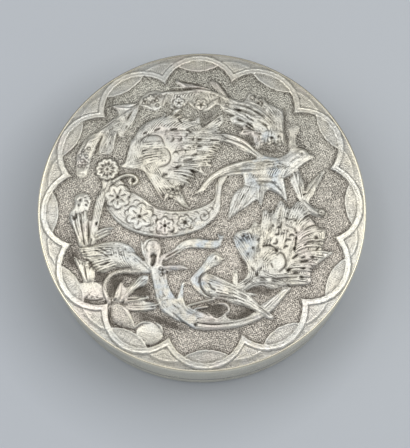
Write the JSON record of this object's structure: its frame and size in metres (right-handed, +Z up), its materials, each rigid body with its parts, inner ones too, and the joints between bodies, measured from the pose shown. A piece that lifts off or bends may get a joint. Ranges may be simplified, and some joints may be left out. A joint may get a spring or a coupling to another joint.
{
  "type": "round box with lift-off lid",
  "caption": "Round sheet-silver box whose domed lid, chased in relief inside a scalloped border, lifts straight off over an inner wall.",
  "frame": {"origin": "middle of the flat underside of the box", "axes": "+Z up through the middle of the lid, +Y towards the top of the lid's picture"},
  "size_m": [0.09, 0.09, 0.0289],
  "materials": {
    "chased_silver": "hand-chased silver, bright on the high relief, matted and darkened in the ground",
    "polished_silver": "worn polished silver with fine scratches",
    "inside_silver": "plain satin silver"
  },
  "bodies": {
    "base": {"base_plate": "inside_silver", "foot_band": "polished_silver", "seat_wire": "polished_silver", "inner_wall": "inside_silver"},
    "lid": {"lid_top": "chased_silver", "lid_skirt": "polished_silver", "lid_rim_wire": "polished_silver"}
  },
  "joints": [
    {"name": "lid_lift", "type": "slide", "parent": "base", "child": "lid", "axis": [0, 0, 1], "range_m": [0, 0.03]}
  ]
}
